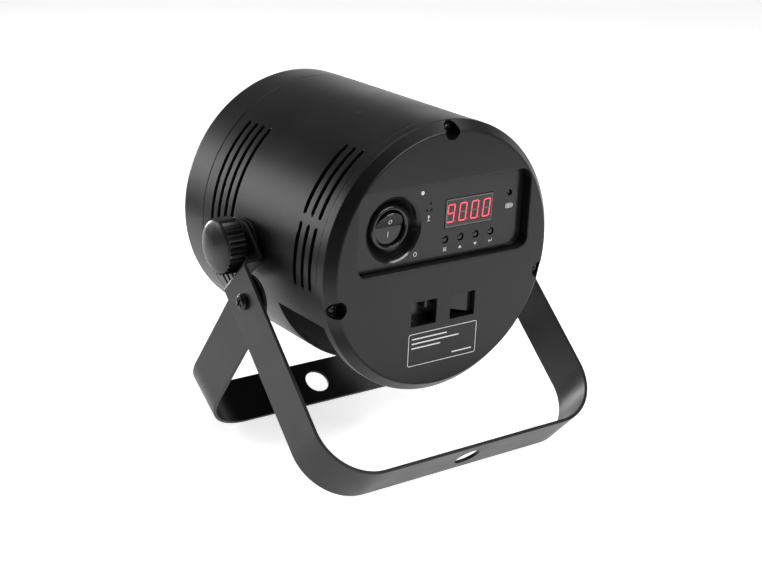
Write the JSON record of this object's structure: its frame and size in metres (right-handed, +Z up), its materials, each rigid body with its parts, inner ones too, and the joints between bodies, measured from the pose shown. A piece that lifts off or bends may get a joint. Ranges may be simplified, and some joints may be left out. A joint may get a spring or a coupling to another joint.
{
  "type": "par can light",
  "caption": "Short round LED par can with a rear control panel, held by clamp knobs on a double U bracket that opens into a floor stand.",
  "frame": {"origin": "on the floor under the middle of the whole object's box, as it stands on its opened brackets", "axes": "+Z up, +Y the way the beam points (nose 3.36 degrees up at rest), +X to the right seen from behind"},
  "size_m": [0.1796, 0.1772, 0.1872],
  "materials": {
    "case_plastic": "satin, fine moulded texture",
    "fascia_plastic": "smooth satin",
    "bracket_paint": "satin powder coat",
    "knob_plastic": "satin",
    "gloss_plastic": "gloss",
    "clear_cover": "clear",
    "lens_acrylic": "clear",
    "led_board": "satin",
    "aluminium": "satin",
    "circuit_board": "semi-gloss",
    "cell_wrap": "shrink film",
    "display_face": "gloss",
    "indicator": "gloss",
    "black_steel": "black oxide",
    "zinc_steel": "zinc plate",
    "brass": "turned",
    "rubber": "matt",
    "nylon": "satin"
  },
  "bodies": {
    "yoke": {"yoke": "bracket_paint", "friction_washer_left": "rubber", "hinge_screw_left": "black_steel", "hinge_nut_left": "zinc_steel", "hinge_washer_left": "nylon", "friction_washer_right": "rubber", "hinge_screw_right": "black_steel", "hinge_nut_right": "zinc_steel", "hinge_washer_right": "nylon"},
    "head": {"housing": "case_plastic", "front_ring": "case_plastic", "front_glass": "clear_cover", "lens_holder": "gloss_plastic", "led_board": "led_board", "heat_sink": "aluminium", "power_board": "circuit_board", "battery_pack": "cell_wrap", "battery_tray": "zinc_steel", "rear_cover": "case_plastic", "control_panel": "fascia_plastic", "control_board": "circuit_board", "display_module": "display_face", "switch_body": "gloss_plastic", "mic_capsule": "aluminium", "battery_led": "indicator", "port_box": "gloss_plastic", "service_socket": "gloss_plastic", "blank_plate": "gloss_plastic", "mains_inlet": "gloss_plastic", "data_in_socket": "gloss_plastic", "data_out_socket": "gloss_plastic", "lens_1": "lens_acrylic", "lens_2": "lens_acrylic", "lens_3": "lens_acrylic", "lens_4": "lens_acrylic", "lens_5": "lens_acrylic", "lens_6": "lens_acrylic", "optic_screw_1": "zinc_steel", "optic_screw_2": "zinc_steel", "optic_screw_3": "zinc_steel", "cover_screw_top": "black_steel", "cover_screw_left": "black_steel", "cover_screw_right": "black_steel", "pivot_insert_left": "brass", "pivot_insert_right": "brass"},
    "stand": {"stand": "bracket_paint"},
    "knob_left": {"knob_left": "knob_plastic", "knob_stud_left": "zinc_steel"},
    "knob_right": {"knob_right": "knob_plastic", "knob_stud_right": "zinc_steel"},
    "rocker": {"rocker": "gloss_plastic"},
    "button_menu": {"button_menu": "gloss_plastic"},
    "button_up": {"button_up": "gloss_plastic"},
    "button_down": {"button_down": "gloss_plastic"},
    "button_enter": {"button_enter": "gloss_plastic"}
  },
  "joints": [
    {"name": "tilt", "type": "hinge", "parent": "yoke", "child": "head", "pos_m": [0, 0.01976, 0.11189], "axis": [1, 0, 0], "continuous": true},
    {"name": "stand_fold", "type": "hinge", "parent": "yoke", "child": "stand", "pos_m": [0, -0.00312, 0.08812], "axis": [1, 0, 0], "range_deg": [-81, 0]},
    {"name": "knob_left_turn", "type": "hinge", "parent": "head", "child": "knob_left", "pos_m": [-0.08, 0.01976, 0.11189], "axis": [-1, 0, 0], "continuous": true},
    {"name": "knob_right_turn", "type": "hinge", "parent": "head", "child": "knob_right", "pos_m": [0.08, 0.01976, 0.11189], "axis": [1, 0, 0], "continuous": true},
    {"name": "rocker_press", "type": "hinge", "parent": "head", "child": "rocker", "pos_m": [-0.0295, -0.04902, 0.12839], "axis": [1, 0, 0], "range_deg": [-24, 0]},
    {"name": "button_menu_press", "type": "slide", "parent": "head", "child": "button_menu", "axis": [0, 0.9983, 0.0586], "range_m": [0, 0.0004], "stiffness_N_per_m": 1500},
    {"name": "button_up_press", "type": "slide", "parent": "head", "child": "button_up", "axis": [0, 0.9983, 0.0586], "range_m": [0, 0.0004], "stiffness_N_per_m": 1500},
    {"name": "button_down_press", "type": "slide", "parent": "head", "child": "button_down", "axis": [0, 0.9983, 0.0586], "range_m": [0, 0.0004], "stiffness_N_per_m": 1500},
    {"name": "button_enter_press", "type": "slide", "parent": "head", "child": "button_enter", "axis": [0, 0.9983, 0.0586], "range_m": [0, 0.0004], "stiffness_N_per_m": 1500}
  ]
}
